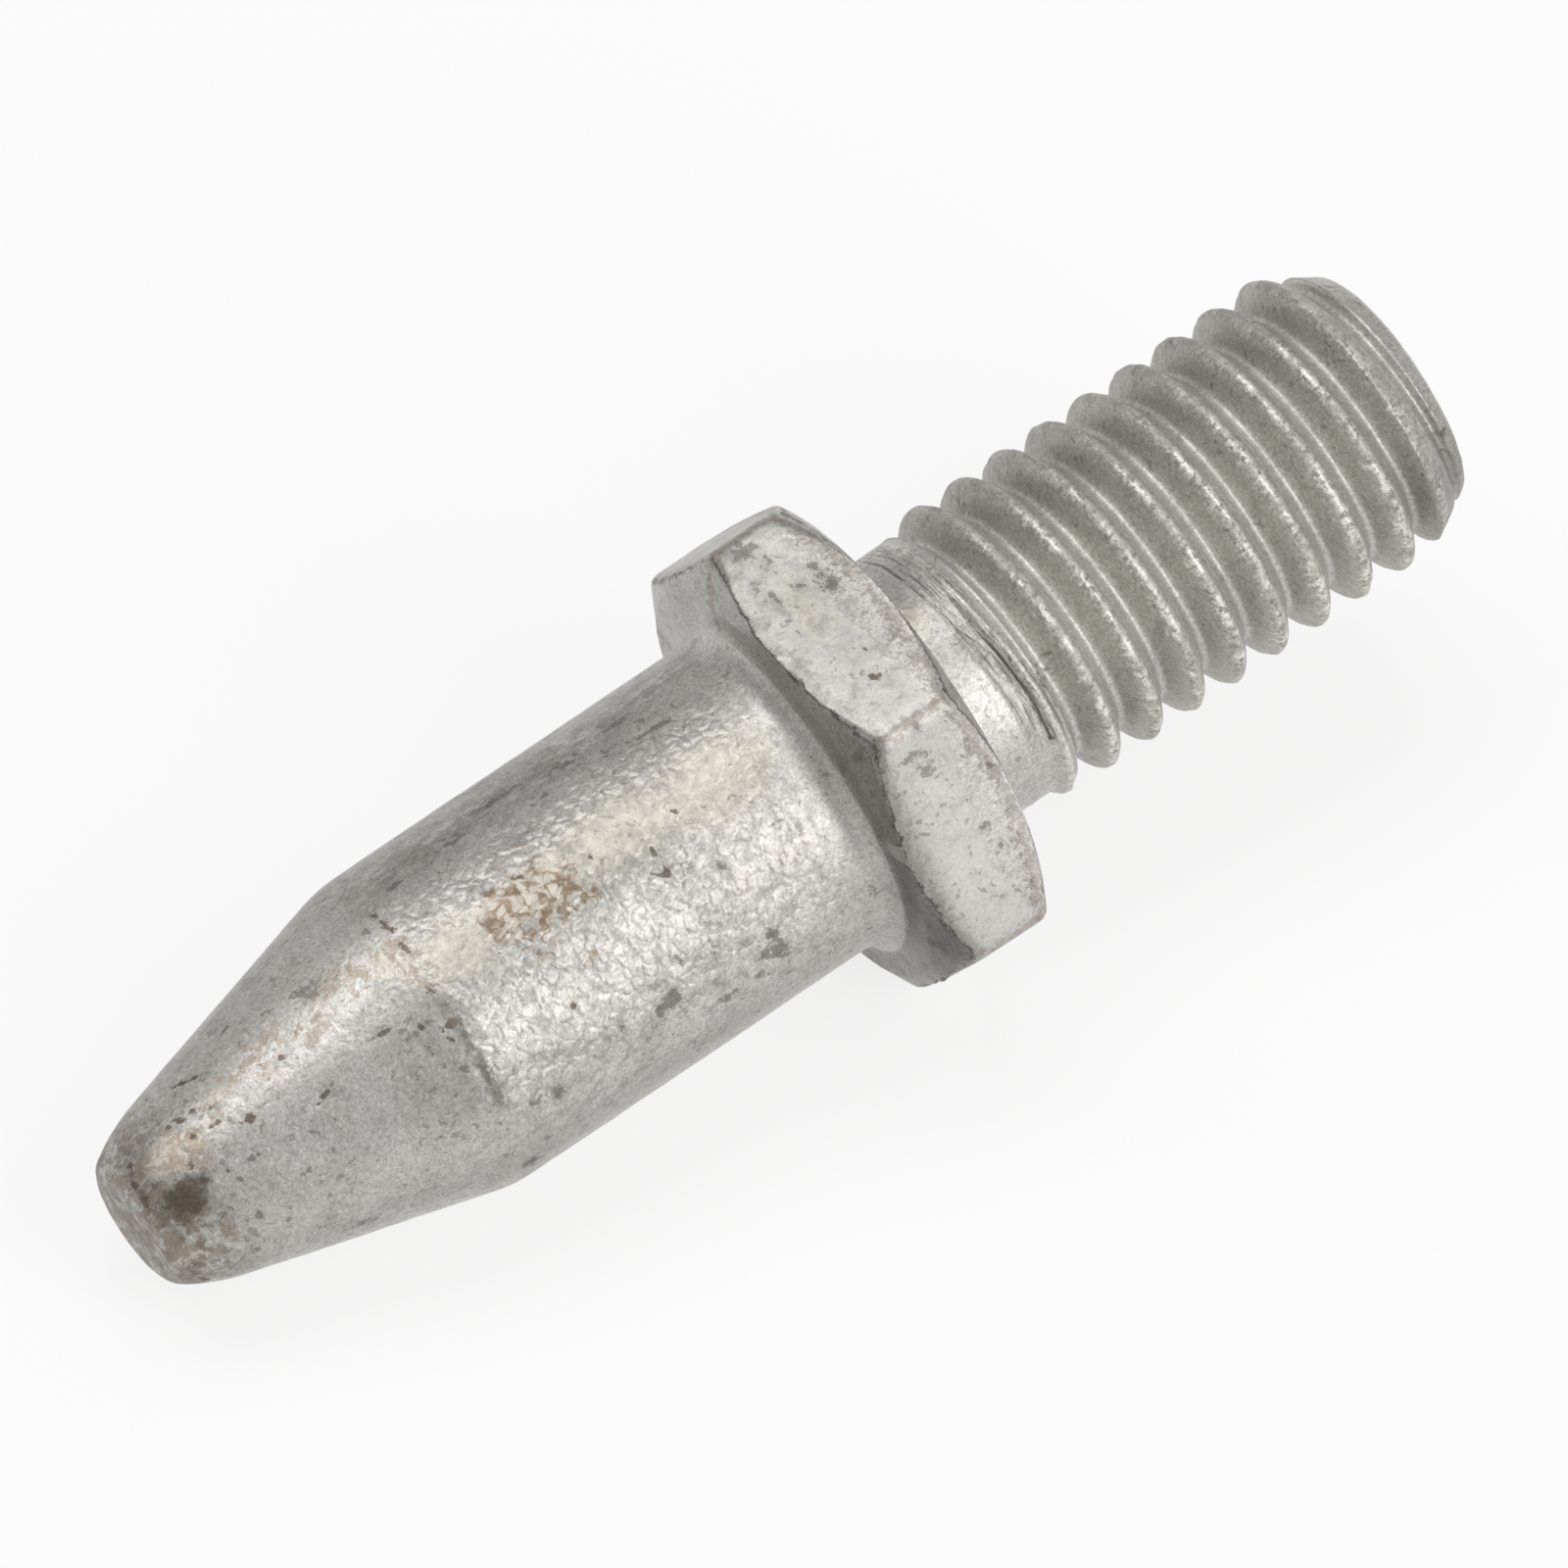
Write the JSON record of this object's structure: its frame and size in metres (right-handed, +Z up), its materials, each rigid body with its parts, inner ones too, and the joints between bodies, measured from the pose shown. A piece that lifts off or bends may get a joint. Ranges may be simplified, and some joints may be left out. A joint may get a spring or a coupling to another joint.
{
  "type": "brake disc bolt",
  "caption": "Brake disc bolt in one forged piece: a tapered locating pin, a chamfered hexagonal collar, a plain neck and a short rolled metric thread on one axis.",
  "frame": {"origin": "centre of the bolt's box, on the surface it lies on", "axes": "+X along the bolt in plan, from the locating pin to the thread; +Z up. The bolt lies as it comes to rest, on the edge of a flat of its collar and on the shoulder of its pin, so its own axis rises 8.18 degrees towards the thread"},
  "size_m": [0.0374, 0.0134, 0.012],
  "materials": {
    "zinc_plated_steel": "satin zinc plating on a forged skin, with small pits and light brown rust"
  },
  "bodies": {
    "root": {"brake_disc_bolt": "zinc_plated_steel"}
  },
  "joints": []
}
